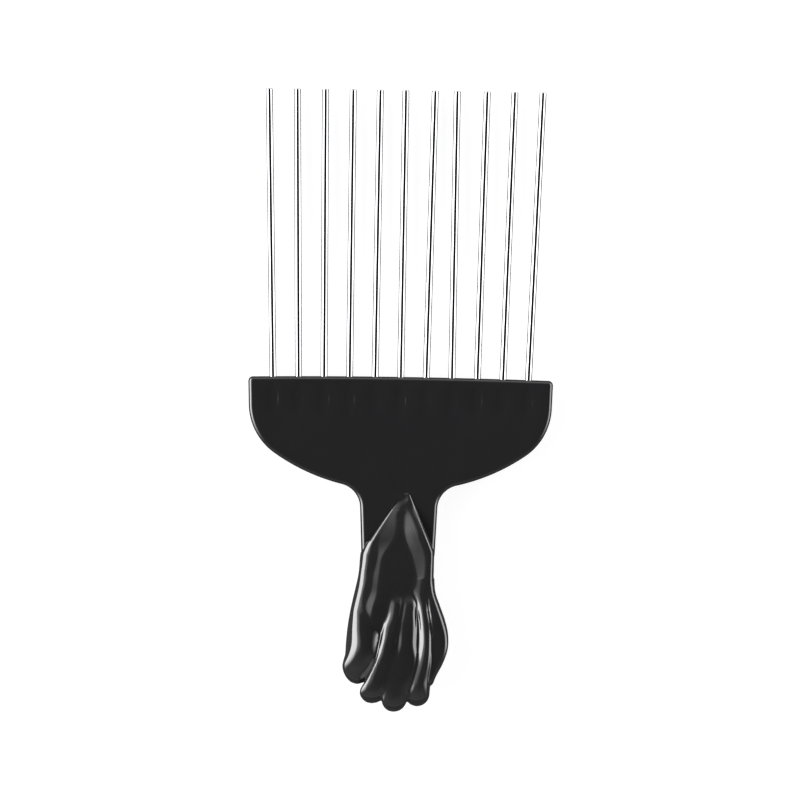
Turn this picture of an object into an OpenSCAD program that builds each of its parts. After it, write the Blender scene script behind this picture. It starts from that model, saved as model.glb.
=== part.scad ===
// Afro pick with a sculpted hand for a grip.
// It lies face up with its tines towards +Y. The origin is on the head's flat back face, on the centre line.
// Head, neck and hand are one moulding. Each tine is a straight wire whose root stands in a socket of the head.

/* [Head] */
// Widest width of the head, across the ends of its tine edge
head_w = 85.5; // [76:0.5:96]
// Thickness of the head and the neck
plate_t = 5.5; // [4.6:0.1:7]
// How far the tine edge crowns above its two ends
edge_crown = 0.5; // [0.2:0.1:1.5]
// Rounding of all the edges of the head and the neck
edge_r = 1.1; // [0.4:0.1:1.2]
// Radius of the two corners at the tine edge, seen from the front
corner_r = 1.3; // [1.3:0.1:4]
// Straight run of each side below its corner
side_len = 6.6; // [3:0.1:12]
// Lean of each side towards the centre line, in degrees
side_lean = 1.9; // [0:0.1:5]
// Radius of the head's round shoulder
shoulder_r = 17; // [12:0.5:20]
// Turn of the round shoulder, in degrees
shoulder_turn = 53.4; // [48:0.2:58]
// Turn of the flatter underside that runs on to the neck, in degrees
belly_turn = 21.5; // [16:0.5:26]

/* [Neck] */
// Width of the neck just below its two fillets
neck_w = 21.7; // [18:0.1:25]
// Radius of the fillets between the head and the neck
neck_fillet_r = 6.8; // [4:0.1:10]
// Lean of each side of the neck towards the centre line, in degrees
neck_lean = 2.4; // [0:0.1:4]
// From the middle of the tine edge down to the point of the cuff
cuff_drop = 32.4; // [31:0.1:38]

/* [Hand] */
// Width across the thumb and the little finger
hand_w = 29.4; // [27:0.2:32]
// Length from the point of the cuff to the longest fingertip
hand_len = 61.7; // [56:0.1:68]
// Thickness through the palm side and the back of the hand
hand_t = 12.6; // [11:0.1:15]
// Height of the cuff above the neck on the back of the hand
cuff_step = 1; // [0.6:0.1:1.6]
// Rounding of the rims of the cuff and the palm
cuff_edge_r = 1.1; // [0.6:0.1:1.4]

/* [Tines] */
// Number of tines
tine_count = 11; // [5:1:12]
// Diameter of the wire
tine_d = 1.9; // [1.5:0.1:2.4]
// From the middle of the tine edge up to the tips
tine_reach = 80.5; // [50:0.5:110]
// Depth of the roots below the middle of the tine edge
root_depth = 11; // [6:0.5:14]
// From each end of the tine edge in to the first tine
tine_margin = 6.85; // [5:0.05:10]
// Lean of the two outer tines away from the centre line, in degrees
fan_angle = 1.8; // [0:0.1:2.5]
// Edge break at the tips
tip_break = 0.3; // [0.1:0.05:0.5]
// Clearance between a root and the wall of its socket
socket_clear = 0.02; // [0:0.01:0.1]

/* [Hidden] */
// From the middle of the tine edge down to the origin
origin_drop = 15;
// Overrun of the cuts
over = 1;
// How far a hand-set wire stands off the even fan, in degrees to the right, from the first to the last
stray_angles = [0.17, 0.34, 0.49, 0.55, 0.5, 0.14, 0.54, -0.52, 0, 0.05, 0.21, 0];

tine_pitch = (head_w - 2 * tine_margin) / (tine_count - 1);
mid_z = plate_t / 2;
half_head = head_w / 2;
crown_r = (half_head * half_head + edge_crown * edge_crown) / (2 * edge_crown);
shoulder_end = side_lean + shoulder_turn;
belly_end = shoulder_end + belly_turn;
cuff_half_t = plate_t / 2 + cuff_step;

// Steps of the curves
corner_steps = 5;
crown_steps = 6;
shoulder_steps = 12;
belly_steps = 6;
fillet_steps = 9;
tongue_steps = 8;
edge_steps = 4;
rim_steps = 3;
palm_steps = 25;
across_steps = 24;
section_steps = 11;
tip_steps = 5;
length_steps = 14;

function tine_name(i) = str("tine_", i < 9 ? "0" : "", i + 1);
function tine_x(i) = (i - (tine_count - 1) / 2) * tine_pitch;
function tine_lean(i) = fan_angle * (2 * i / (tine_count - 1) - 1) + stray_angles[i];

// A point of an outline is [x, y, direction of its outward normal]
function on_circle(centre, r, a) = [centre.x + r * cos(a), centre.y + r * sin(a), a];
function arc(centre, r, from, to, steps) =
    [for (k = [0 : steps]) on_circle(centre, r, from + (to - from) * k / steps)];
// A hollow arc's normal points at its centre
function hollow_arc(centre, r, from, to, steps) =
    [for (k = [0 : steps]) let (a = from + (to - from) * k / steps)
        [centre.x - r * cos(a), centre.y - r * sin(a), a]];
function along(p, distance) = [p.x + distance * cos(p[2]), p.y + distance * sin(p[2])];
function mirrored(p) = [-p.x, p.y, 180 - p[2]];
function closed(half) = concat(half, [for (k = [len(half) - 1 : -1 : 0]) mirrored(half[k])]);

// Right half of the outline of the head and the neck, from the tine edge down to the tongue inside the hand
function plate_half() =
    let (crown_turn = asin((half_head - corner_r) / (crown_r - corner_r)),
        crown = arc([0, -crown_r], crown_r, 90 - crown_turn / crown_steps, 90 - crown_turn, crown_steps - 1),
        corner_c = along([0, -crown_r, 90 - crown_turn], crown_r - corner_r),
        corner = arc(corner_c, corner_r, 90 - crown_turn, -side_lean, corner_steps),
        side = corner[corner_steps],
        side_end = [side.x - side_len * sin(side_lean), side.y - side_len * cos(side_lean), -side_lean],
        shoulder = arc(along(side_end, -shoulder_r), shoulder_r, -side_lean, -shoulder_end, shoulder_steps),
        belly_start = shoulder[shoulder_steps],
        fillet_in = neck_fillet_r * (cos(neck_lean) - cos(belly_end)),
        belly_r = (belly_start.x - fillet_in - neck_w / 2) / (cos(shoulder_end) - cos(belly_end)),
        belly = arc(along(belly_start, -belly_r), belly_r, -shoulder_end, -belly_end, belly_steps),
        fillet_c = along(belly[belly_steps], neck_fillet_r),
        fillet = hollow_arc(fillet_c, neck_fillet_r, -belly_end, -neck_lean, fillet_steps),
        neck = fillet[fillet_steps],
        run = (neck.y + cuff_drop + hand_len * tongue_share) / cos(neck_lean),
        tongue_r = (neck.x - run * sin(neck_lean)) / cos(neck_lean),
        tongue_y = neck.y - run * cos(neck_lean) + tongue_r * sin(neck_lean),
        tongue = arc([0, tongue_y], tongue_r, -neck_lean, -90 + 90 / tongue_steps, tongue_steps - 1))
    concat(crown, tail(corner), [side_end], tail(shoulder), tail(belly), tail(fillet), tongue);
function tail(list) = [for (k = [1 : len(list) - 1]) list[k]];

// A flat plate with rounded edges: rings of the outline, drawn in along its normals
module rounded_plate(loop, half_t, r) {
    count = len(loop);
    quarter = [for (k = [0 : edge_steps]) 90 * k / edge_steps];
    levels = concat(
        [for (k = [edge_steps : -1 : 0])
            [r * (1 - cos(quarter[k])), -(half_t - r) - r * sin(quarter[k])]],
        [for (a = quarter) [r * (1 - cos(a)), half_t - r + r * sin(a)]]);
    points = [for (level = levels) for (p = loop) let (q = along(p, -level[0])) [q.x, q.y, level[1]]];
    top = (len(levels) - 1) * count;
    walls = [for (k = [0 : len(levels) - 2]) for (i = [0 : count - 1]) let (j = (i + 1) % count)
        [k * count + j, (k + 1) * count + j, (k + 1) * count + i, k * count + i]];
    back_strips = [for (i = [0 : count / 2 - 2]) [count - 1 - i, count - 2 - i, i + 1, i]];
    front_strips = [for (s = back_strips) [top + s[3], top + s[2], top + s[1], top + s[0]]];
    polyhedron(points, concat(walls, back_strips, front_strips), convexity = 4);
}

// The hand is a palm with five fingers, a web under them and the ball of its back. All run down it.
// A place down the hand is a share of hand_len, one across it a share of hand_w, and a height one of hand_t.
// Each row of a finger's table is a section of it: how far down, its left side, its crest and its right side,
// the height of its front crest, the depth of the dome there, the height of its back crest,
// and how square the dome is: 2 is an ellipse.
thumb_shares = [
    [0.228, -0.313, -0.235, -0.136, 0.254, 0.095, 0.206, 2],
    [0.285, -0.351, -0.238, -0.156, 0.337, 0.254, 0.310, 2],
    [0.366, -0.361, -0.252, -0.177, 0.357, 0.254, 0.349, 2],
    [0.447, -0.405, -0.296, -0.211, 0.389, 0.254, 0.381, 2],
    [0.528, -0.442, -0.333, -0.204, 0.429, 0.254, 0.397, 2],
    [0.609, -0.469, -0.320, -0.109, 0.484, 0.349, 0.397, 2],
    [0.690, -0.485, -0.298, -0.095, 0.508, 0.429, 0.389, 2],
    [0.739, -0.490, -0.306, -0.129, 0.488, 0.413, 0.381, 2],
    [0.788, -0.514, -0.337, -0.177, 0.421, 0.349, 0.365, 2],
    [0.875, -0.514, -0.367, -0.231, 0.286, 0.246, 0.302, 2]];
index_shares = [
    [0.447, -0.061, -0.007, 0.054, 0.333, 0.079, 0.302, 2],
    [0.496, -0.088, -0.003, 0.075, 0.484, 0.135, 0.381, 2],
    [0.545, -0.102, -0.003, 0.082, 0.524, 0.159, 0.405, 1.9],
    [0.609, -0.150, -0.014, 0.085, 0.540, 0.167, 0.421, 1.7],
    [0.690, -0.163, -0.058, 0.044, 0.540, 0.151, 0.421, 2],
    [0.771, -0.245, -0.088, 0.048, 0.516, 0.143, 0.405, 1.6],
    [0.852, -0.340, -0.150, 0.007, 0.468, 0.167, 0.373, 1.7],
    [0.901, -0.345, -0.204, -0.088, 0.421, 0.159, 0.349, 1.8],
    [0.963, -0.347, -0.224, -0.112, 0.365, 0.222, 0.317, 2]];
middle_shares = [
    [0.447, 0.075, 0.116, 0.156, 0.333, 0.079, 0.302, 2],
    [0.496, 0.054, 0.109, 0.190, 0.484, 0.127, 0.397, 2.2],
    [0.545, 0.041, 0.105, 0.197, 0.532, 0.143, 0.413, 2.3],
    [0.609, 0.031, 0.105, 0.204, 0.548, 0.143, 0.429, 2.3],
    [0.690, 0.014, 0.102, 0.197, 0.548, 0.119, 0.429, 2.1],
    [0.771, -0.061, 0.078, 0.211, 0.532, 0.111, 0.421, 2.2],
    [0.852, -0.099, 0.031, 0.156, 0.492, 0.143, 0.389, 2.2],
    [0.901, -0.126, -0.007, 0.116, 0.444, 0.175, 0.365, 2.2],
    [1.000, -0.139, -0.020, 0.099, 0.365, 0.230, 0.317, 2.1]];
ring_shares = [
    [0.399, 0.177, 0.245, 0.286, 0.381, 0.079, 0.302, 2],
    [0.455, 0.170, 0.252, 0.293, 0.468, 0.111, 0.365, 2],
    [0.528, 0.184, 0.265, 0.303, 0.524, 0.175, 0.413, 2],
    [0.609, 0.201, 0.286, 0.333, 0.548, 0.214, 0.429, 2],
    [0.690, 0.194, 0.299, 0.344, 0.556, 0.238, 0.429, 2],
    [0.771, 0.156, 0.289, 0.347, 0.540, 0.230, 0.413, 1.9],
    [0.852, 0.099, 0.245, 0.333, 0.484, 0.238, 0.373, 1.75],
    [0.901, 0.088, 0.224, 0.323, 0.429, 0.222, 0.349, 1.6],
    [0.972, 0.088, 0.201, 0.316, 0.365, 0.246, 0.317, 2]];
little_shares = [
    [0.399, 0.272, 0.306, 0.337, 0.317, 0.079, 0.278, 2.2],
    [0.447, 0.269, 0.310, 0.352, 0.437, 0.127, 0.341, 2.4],
    [0.512, 0.279, 0.327, 0.405, 0.508, 0.175, 0.373, 2.6],
    [0.577, 0.299, 0.354, 0.456, 0.532, 0.183, 0.381, 2.8],
    [0.642, 0.313, 0.371, 0.488, 0.532, 0.183, 0.381, 3.2],
    [0.707, 0.320, 0.374, 0.488, 0.516, 0.175, 0.365, 3.2],
    [0.771, 0.313, 0.367, 0.446, 0.468, 0.151, 0.341, 2.8],
    [0.836, 0.293, 0.337, 0.378, 0.397, 0.143, 0.302, 2.4],
    [0.878, 0.279, 0.313, 0.347, 0.341, 0.151, 0.270, 2.3]];
// The web is the floor of the grooves between the fingers
web_shares = [
    [0.447, 0, 0.119, 0.272, 0.317, 0.079, 0.278, 3],
    [0.512, -0.034, 0.119, 0.306, 0.413, 0.079, 0.278, 3],
    [0.609, -0.088, 0.119, 0.340, 0.460, 0.079, 0.278, 3],
    [0.690, -0.129, 0.109, 0.347, 0.468, 0.079, 0.278, 3],
    [0.771, -0.184, 0.085, 0.333, 0.444, 0.079, 0.278, 3],
    [0.836, -0.252, 0.051, 0.306, 0.397, 0.079, 0.278, 3],
    [0.901, -0.259, 0, 0.238, 0.317, 0.079, 0.254, 3]];
ball_shares = [
    [0.091, -0.054, 0.071, 0.197, 0.238, 0.079, 0.302, 2],
    [0.204, -0.204, 0.034, 0.272, 0.238, 0.079, 0.373, 2],
    [0.285, -0.293, 0, 0.313, 0.238, 0.079, 0.413, 2],
    [0.415, -0.340, 0, 0.327, 0.238, 0.079, 0.444, 2],
    [0.512, -0.374, 0, 0.361, 0.238, 0.079, 0.444, 2],
    [0.609, -0.408, 0, 0.408, 0.238, 0.079, 0.405, 2]];
// Least height of a section's side wall, as a share of its front crest
wall_share = 0.08;
// Height of the round of a section's back, as a share of its half width and at most of its back crest
back_dome_share = 0.55;
back_most_share = 0.9;
// How square the round of the back is
back_square_share = 2.2;
// Length of a round fingertip, as a share of its half width, and the same for the thumb
tip_share = 1.05;
thumb_tip_share = 1.35;
// Size of a tip's last section, as a share of the full one
tip_end_share = 0.16;
// How far the neck runs on into the hand, as a share of hand_len
tongue_share = 0.27;

// Outline of the palm: how far down, its left rim and its right rim.
// It starts at the cuff's point, from which the rims run down in a V.
rim_shares = [
    [0, 0.065, 0.066],
    [0.005, 0.034, 0.095],
    [0.011, 0.021, 0.107],
    [0.019, 0.011, 0.116],
    [0.275, -0.351, 0.345],
    [0.512, -0.344, 0.338],
    [0.658, -0.270, 0.200]];
// Relief of the palm: how far down, then the corners of its section from left to right, across and in height.
// The ball of the thumb rises in the first three and the ball of the little finger from the fourth on.
palm_shares = [
    [0.026, -0.102, 0.218, 0.029, 0.226, 0.082, 0.268, 0.092, 0.271, 0.099, 0.278, 0.105, 0.283, 0.112, 0.286,
        0.119, 0.286, 0.143, 0.286],
    [0.066, -0.102, 0.230, -0.037, 0.234, 0.014, 0.275, 0.058, 0.282, 0.082, 0.292, 0.102, 0.302, 0.119, 0.306,
        0.133, 0.300, 0.156, 0.298],
    [0.123, -0.153, 0.278, -0.071, 0.282, -0.017, 0.311, 0.061, 0.310, 0.102, 0.342, 0.146, 0.376, 0.170, 0.381,
        0.197, 0.369, 0.224, 0.357],
    [0.204, -0.255, 0.294, -0.177, 0.300, -0.017, 0.379, 0.065, 0.367, 0.136, 0.422, 0.204, 0.471, 0.252, 0.486,
        0.286, 0.476, 0.313, 0.460],
    [0.285, -0.323, 0.317, -0.235, 0.341, -0.102, 0.423, 0.116, 0.393, 0.184, 0.445, 0.252, 0.492, 0.303, 0.510,
        0.327, 0.492, 0.354, 0.468],
    [0.366, -0.340, 0.341, -0.262, 0.367, -0.150, 0.443, 0.150, 0.390, 0.197, 0.427, 0.252, 0.467, 0.293, 0.475,
        0.327, 0.460, 0.354, 0.437],
    [0.447, -0.361, 0.365, -0.289, 0.393, -0.177, 0.468, 0.170, 0.385, 0.201, 0.410, 0.235, 0.438, 0.272, 0.443,
        0.320, 0.425, 0.354, 0.405],
    [0.528, -0.374, 0.389, -0.323, 0.417, -0.224, 0.508, 0.153, 0.357, 0.190, 0.369, 0.224, 0.377, 0.259, 0.377,
        0.306, 0.349, 0.357, 0.325],
    [0.593, -0.374, 0.349, -0.316, 0.397, -0.224, 0.452, 0.153, 0.317, 0.190, 0.325, 0.224, 0.333, 0.259, 0.333,
        0.306, 0.317, 0.357, 0.302],
    [0.658, -0.374, 0.286, -0.316, 0.317, -0.224, 0.341, 0.153, 0.286, 0.190, 0.286, 0.224, 0.294, 0.259, 0.294,
        0.306, 0.286, 0.357, 0.278]];
corner_count = 9;
// Width over which the corners of the relief are eased, as a share of hand_w
ease_share = 0.027;
// The palm's sections crowd towards the cuff's point, by this power of their number
crowding_share = 1.5;

// Smooth value of one column of a table at s, through the rows on both sides of it
function row_at(t, s) = max([for (k = [0 : len(t) - 2]) if (k == 0 || t[k][0] <= s) k]);
function slope(t, k, c) =
    let (a = max(k - 1, 0), b = min(k + 1, len(t) - 1)) (t[b][c] - t[a][c]) / (t[b][0] - t[a][0]);
function smooth(t, s, c) =
    let (k = row_at(t, s), step = t[k + 1][0] - t[k][0], u = (s - t[k][0]) / step)
    t[k][c] * (1 + 2 * u) * pow(1 - u, 2) + slope(t, k, c) * step * u * pow(1 - u, 2)
    + t[k + 1][c] * u * u * (3 - 2 * u) - slope(t, k + 1, c) * step * u * u * (1 - u);

// One section of a finger: straight side walls between a front dome with a crest of its own and a round back
function dome(a, square) = [sign(cos(a)) * pow(abs(cos(a)), 2 / square), pow(abs(sin(a)), 2 / square)];
function section(t, s, size) =
    let (full_left = smooth(t, s, 1), full_right = smooth(t, s, 3), mid = (full_left + full_right) / 2,
        left = hand_w * (mid + (full_left - mid) * size), right = hand_w * (mid + (full_right - mid) * size),
        crest = hand_w * (mid + (smooth(t, s, 2) - mid) * size), half = (right - left) / 2,
        front = hand_t * smooth(t, s, 4) * size, back = hand_t * smooth(t, s, 6) * size,
        depth = min(hand_t * smooth(t, s, 5) * size, front * (1 - wall_share)),
        back_depth = min(back_dome_share * half, back_most_share * back), square = smooth(t, s, 7))
    concat(
        [for (k = [0 : section_steps]) let (q = dome(180 * k / section_steps, square))
            [crest + q[0] * (q[0] > 0 ? right - crest : crest - left), -hand_len * s,
                front - depth * (1 - q[1])]],
        [for (k = [0 : section_steps]) let (q = dome(180 + 180 * k / section_steps, back_square_share))
            [hand_w * mid + q[0] * half, -hand_len * s, back_depth * (1 - q[1]) - back]]);

// A solid through sections that all have as many points
module loft(rings) {
    count = len(rings[0]);
    end = (len(rings) - 1) * count;
    walls = [for (k = [0 : len(rings) - 2]) for (i = [0 : count - 1]) let (j = (i + 1) % count)
        [(k + 1) * count + i, (k + 1) * count + j, k * count + j, k * count + i]];
    caps = [[for (i = [0 : count - 1]) i], [for (i = [count - 1 : -1 : 0]) end + i]];
    polyhedron([for (r = rings) for (p = r) p], concat(walls, caps), convexity = 4);
}

// A finger: a loft through its sections, which closes round over the length of its tip. No tip leaves it blunt.
module finger(t, tip = tip_share) {
    first = t[0][0];
    last = t[len(t) - 1];
    tip_len = tip * (last[3] - last[1]) / 2 * hand_w / hand_len;
    body_end = last[0] - tip_len;
    least = asin(tip_end_share);
    stations = concat(
        [for (k = [0 : length_steps]) [first + (body_end - first) * k / length_steps, 1]],
        tip > 0 ? [for (k = [1 : tip_steps]) let (a = (90 - least) * k / tip_steps)
            [body_end + tip_len * sin(a), cos(a)]] : []);
    loft([for (s = stations) section(t, s[0], s[1])]);
}

// The palm and the cuff: a loft whose front is the relief, with its rims rounded on the front and on the back
function palm_row(s) =
    let (at = max(s, palm_shares[0][0]))
    [for (k = [0 : corner_count - 1])
        [hand_w * smooth(palm_shares, at, 1 + 2 * k), hand_t * smooth(palm_shares, at, 2 + 2 * k)]];
function relief(x, corners) =
    let (ease = hand_w * ease_share)
    (lookup(x - ease / 2, corners) + lookup(x - ease / 4, corners) + lookup(x, corners)
        + lookup(x + ease / 4, corners) + lookup(x + ease / 2, corners)) / 5;
function rim_fall(inset, r) = inset < r ? r - sqrt(r * r - (r - inset) * (r - inset)) : 0;
function palm_section(s) =
    let (left = hand_w * lookup(s, [for (row = rim_shares) [row[0], row[1]]]),
        right = hand_w * lookup(s, [for (row = rim_shares) [row[0], row[2]]]),
        half = (right - left) / 2, r = min(cuff_edge_r, half), corners = palm_row(s),
        rounds = [for (k = [0 : rim_steps - 1]) r * (1 - cos(90 * k / rim_steps))],
        insets = concat([for (d = rounds) right - d],
            [for (k = [0 : across_steps]) right - r + (left - right + 2 * r) * k / across_steps],
            [for (k = [rim_steps - 1 : -1 : 0]) left + rounds[k]]),
        last = len(insets) - 1)
    concat(
        [for (x = insets) [x, -hand_len * s, relief(x, corners) - rim_fall(min(right - x, x - left), r)]],
        [for (k = [last : -1 : 0]) let (x = insets[k])
            [x, -hand_len * s, rim_fall(min(right - x, x - left), r) - cuff_half_t]]);
module palm() {
    end = rim_shares[len(rim_shares) - 1][0];
    loft([for (k = [0 : palm_steps]) palm_section(end * pow(k / palm_steps, crowding_share))]);
}

module hand() {
    resize([hand_w, 0, hand_t]) {
        palm();
        finger(thumb_shares, thumb_tip_share);
        finger(index_shares);
        finger(middle_shares);
        finger(ring_shares);
        finger(little_shares);
        finger(web_shares, 0);
        finger(ball_shares, 0);
    }
}

module tine_place(i) {
    translate([tine_x(i), 0, 0])
        rotate([0, 0, -tine_lean(i)])
            translate([0, -root_depth, 0])
                rotate([-90, 0, 0])
                    children();
}

module handle() {
    color("#17181a")
        translate([0, origin_drop, mid_z])
            difference() {
                union() {
                    rounded_plate(closed(plate_half()), plate_t / 2, edge_r);
                    translate([0, -cuff_drop, 0])
                        hand();
                }
                for (i = [0 : tine_count - 1])
                    tine_place(i)
                        cylinder(h = root_depth + edge_crown + over, d = tine_d + 2 * socket_clear, $fn = 32);
            }
}

module tine(i) {
    wire_len = root_depth + tine_reach;
    color("#d9dbde")
        translate([0, origin_drop, mid_z])
            tine_place(i)
                rotate_extrude($fn = 32)
                    polygon([[0, 0], [tine_d / 2, 0], [tine_d / 2, wire_len - tip_break],
                        [tine_d / 2 - tip_break, wire_len], [0, wire_len]]);
}

handle();
for (i = [0 : tine_count - 1])
    tine(i);
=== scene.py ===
"""Afro pick with a sculpted hand for a grip: its looks.

Lengths in the tables and in named values are in millimetres until the mesh is made. The work frame of the shapes
has its origin on the mid-plane of the head: on the centre line, at the middle of the tine edge.
"""

import math

import bpy
import numpy as np
from mathutils import Matrix, Vector
from mathutils.geometry import delaunay_2d_cdt


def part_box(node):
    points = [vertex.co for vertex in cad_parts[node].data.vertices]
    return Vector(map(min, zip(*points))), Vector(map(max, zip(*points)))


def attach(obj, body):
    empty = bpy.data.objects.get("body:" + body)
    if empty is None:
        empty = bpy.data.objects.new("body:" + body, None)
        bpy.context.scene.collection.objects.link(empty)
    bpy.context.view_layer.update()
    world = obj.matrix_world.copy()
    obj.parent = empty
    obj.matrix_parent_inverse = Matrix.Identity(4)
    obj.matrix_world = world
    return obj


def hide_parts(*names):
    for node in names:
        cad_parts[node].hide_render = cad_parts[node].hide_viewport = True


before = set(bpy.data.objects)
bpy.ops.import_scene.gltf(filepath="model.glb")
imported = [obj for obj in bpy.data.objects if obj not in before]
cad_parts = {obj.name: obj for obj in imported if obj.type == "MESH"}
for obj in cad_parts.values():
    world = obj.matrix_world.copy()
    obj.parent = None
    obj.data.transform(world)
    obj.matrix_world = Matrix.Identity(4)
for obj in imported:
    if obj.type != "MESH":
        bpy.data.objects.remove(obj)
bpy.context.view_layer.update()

MM = 0.001
# From the middle of the tine edge down to the frame's origin, and from the mid-plane down to it
ORIGIN_DROP = 15.0
MID_Z = 2.75

# ---- sizes of the head and the neck, as in the solids
HEAD_W = 85.5
PLATE_T = 5.5
EDGE_CROWN = 0.5
EDGE_R = 1.25
CORNER_R = 1.3
SIDE_LEN = 6.6
SIDE_LEAN = 1.9
SHOULDER_R = 17.0
SHOULDER_TURN = 53.4
BELLY_TURN = 21.5
NECK_W = 21.7
NECK_FILLET_R = 6.8
NECK_LEAN = 2.4
CUFF_DROP = 32.4
HAND_LEN = 61.7
# The neck runs on inside the hand, for this share of the hand's length, to a round end of nearly a half turn
TONGUE_SHARE = 0.27
TONGUE_END = 86
# Steps of the outline's arcs and of the rounded edge
CROWN_STEPS = 40
CORNER_STEPS = 14
SHOULDER_STEPS = 40
BELLY_STEPS = 30
FILLET_STEPS = 30
TONGUE_STEPS = 20
EDGE_STEPS = 9

# ---- sizes of the tines, as in the solids
TINE_COUNT = 11
TINE_D = 1.9
TINE_REACH = 80.5
ROOT_DEPTH = 11.0
TINE_MARGIN = 6.85
FAN_ANGLE = 1.8
STRAY_ANGLES = [0.17, 0.34, 0.49, 0.55, 0.5, 0.14, 0.54, -0.52, 0, 0.05, 0.21]
SOCKET_CLEAR = 0.02
# How far the sockets' cutters stand out of the head
CUTTER_OVER = 2.0
TIP_BREAK = 0.3
ROOT_BREAK = 0.02
TINE_SEGMENTS = 40
SOCKET_SEGMENTS = 48
SHAFT_STEPS = 12
TIP_STEPS = 5

# ---- the hand
# Corners of the cuff and of the palm under the fingers: across, and along from the cuff's line
CUFF = [(2.2, 1.6), (10.15, -16.4), (9.95, -31.6), (6, -39.6), (-9.4, -39.6), (-11.8, -32.6), (-10.3, -17.1)]
CUFF_CORNER = 1.5
CUFF_CORNER_STEPS = 8
CUFF_HALF_T = PLATE_T / 2 + 1.0
# The palm's surface: for each station down the hand, the corners of its section as (x, height above the mid-plane)
PALM = [
    (-34.0, [(-3.0, 2.60), (0.2, 2.63), (1.9, 2.82), (2.4, 2.98), (2.8, 3.10), (3.1, 3.18), (3.3, 3.20),
             (3.5, 3.18), (4.2, 3.08)]),
    (-36.5, [(-3.0, 2.62), (-1.6, 2.70), (0.4, 3.18), (1.7, 3.34), (2.4, 3.46), (3.0, 3.54), (3.5, 3.56),
             (3.9, 3.46), (4.6, 3.20)]),
    (-40.0, [(-4.6, 2.72), (-2.6, 3.10), (-0.4, 3.62), (1.6, 3.84), (3.0, 4.30), (4.3, 4.70), (5.0, 4.72),
             (5.8, 4.48), (6.6, 4.20)]),
    (-45.0, [(-7.6, 3.60), (-5.4, 3.90), (-0.7, 4.76), (1.6, 4.62), (3.9, 5.36), (6.2, 6.00), (7.4, 6.08),
             (8.4, 5.80), (9.2, 5.40)]),
    (-50.0, [(-9.8, 4.02), (-7.7, 4.10), (-3.8, 5.14), (3.5, 4.95), (5.7, 5.58), (7.9, 6.20), (9.0, 6.30),
             (9.8, 6.10), (10.4, 5.80)]),
    (-55.0, [(-10.3, 4.30), (-8.4, 4.40), (-4.7, 5.46), (4.8, 4.92), (6.4, 5.40), (7.9, 5.88), (8.8, 5.96),
             (9.7, 5.80), (10.4, 5.50)]),
    (-60.0, [(-11.0, 4.60), (-9.4, 4.76), (-5.2, 5.86), (5.6, 4.85), (6.3, 5.08), (7.0, 5.34), (8.0, 5.46),
             (9.4, 5.35), (10.4, 5.10)]),
    (-65.0, [(-11.6, 4.90), (-10.5, 4.97), (-6.6, 6.42), (4.5, 4.60), (5.6, 4.70), (6.6, 4.75), (7.6, 4.75),
             (9.0, 4.40), (10.5, 4.10)]),
    (-69.0, [(-11.6, 4.60), (-10.6, 4.80), (-6.8, 5.80), (4.5, 4.00), (5.6, 4.20), (6.6, 4.20), (7.6, 4.20),
             (9.0, 4.00), (10.5, 3.80)]),
    (-73.0, [(-11.6, 3.40), (-10.0, 3.60), (-6.6, 4.00), (4.5, 3.40), (5.6, 3.80), (6.6, 3.80), (7.6, 3.80),
             (9.0, 3.60), (10.5, 3.50)]),
]
# How far the rims of the cuff and the palm are rounded: station, radius on the left, radius on the right
RIMS = [(-32.0, 0.3, 0.4), (-38.0, 0.35, 0.5), (-42.0, 0.5, 0.6), (-46.0, 1.0, 0.9), (-50.0, 2.2, 1.1),
        (-60.0, 2.3, 1.1)]
# Width of the strip on the centre line in which the left radius gives way to the right one
RIM_CHANGE = 4
# Width of the running mean that eases the palm's corners
PALM_BLUR = 1.2
PALM_BLUR_STEPS = 8
# Sections of the lobes: station, then left side, crest and right side across, height of the front crest,
# depth of its dome, height of the back crest, squareness of the dome
THUMB = [
    (-46.5, -9.2, -6.9, -4.0, 3.2, 1.2, 2.6, 2.0),
    (-50.0, -10.32, -7.0, -4.6, 4.25, 3.2, 3.9, 2.0),
    (-55.0, -10.6, -7.6, -5.2, 4.3, 1.8, 4.4, 1.8),
    (-60.0, -11.9, -9.0, -6.2, 4.9, 3.0, 4.8, 2.0),
    (-65.0, -13.0, -9.9, -6.4, 5.2, 3.0, 5.0, 2.0),
    (-70.0, -13.8, -9.4, -3.4, 6.1, 4.4, 5.0, 2.0),
    (-75.0, -14.25, -8.7, -3.2, 6.4, 5.4, 4.9, 2.0),
    (-78.0, -14.4, -8.9, -3.9, 6.05, 4.0, 4.8, 2.0),
    (-81.0, -15.1, -9.9, -5.2, 5.15, 2.8, 4.6, 1.9),
    (-86.4, -15.1, -10.8, -6.8, 3.4, 2.0, 3.8, 1.9),
]
INDEX = [
    (-60.0, -1.8, -0.2, 1.6, 4.2, 1.0, 3.8, 2.0),
    (-63.0, -2.0, 0.0, 2.0, 6.2, 1.6, 4.8, 2.0),
    (-66.0, -2.6, -0.2, 1.9, 6.7, 1.7, 5.1, 1.9),
    (-70.0, -3.5, -0.6, 1.1, 6.8, 0.95, 5.3, 1.65),
    (-75.0, -4.7, -2.0, 0.8, 6.8, 1.5, 5.3, 2.1),
    (-80.0, -5.8, -2.6, 1.0, 6.4, 0.8, 5.1, 1.6),
    (-85.0, -8.2, -4.1, 0.2, 5.9, 1.2, 4.7, 1.7),
    (-88.0, -10.0, -5.1, -2.0, 5.5, 1.9, 4.4, 1.7),
    (-91.8, -10.2, -6.6, -3.3, 4.5, 2.0, 4.0, 2.0),
]
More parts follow.
